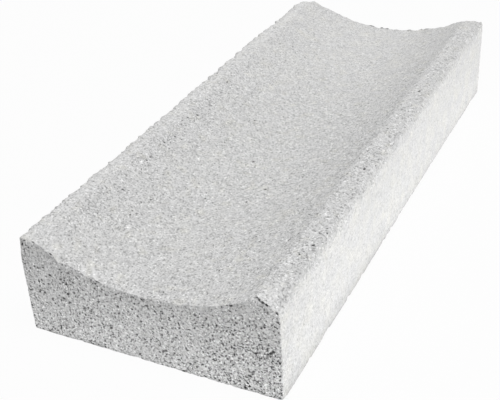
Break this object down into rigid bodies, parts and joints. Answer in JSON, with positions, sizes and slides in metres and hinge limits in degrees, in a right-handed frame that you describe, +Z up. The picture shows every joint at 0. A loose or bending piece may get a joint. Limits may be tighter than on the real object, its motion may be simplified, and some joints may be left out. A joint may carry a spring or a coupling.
{
  "type": "concrete gutter channel",
  "caption": "Pressed concrete block with a shallow round channel along its top between two flat rims, laid end to end to carry surface water.",
  "frame": {"origin": "middle of the base, on the ground", "axes": "+Z up out of the channel, +Y along the channel, +X across it"},
  "size_m": [0.2, 0.5, 0.08],
  "materials": {
    "concrete": "light grey pressed concrete, open grained on the ends and finer on the top"
  },
  "bodies": {
    "root": {"gutter_channel": "concrete"}
  },
  "joints": []
}
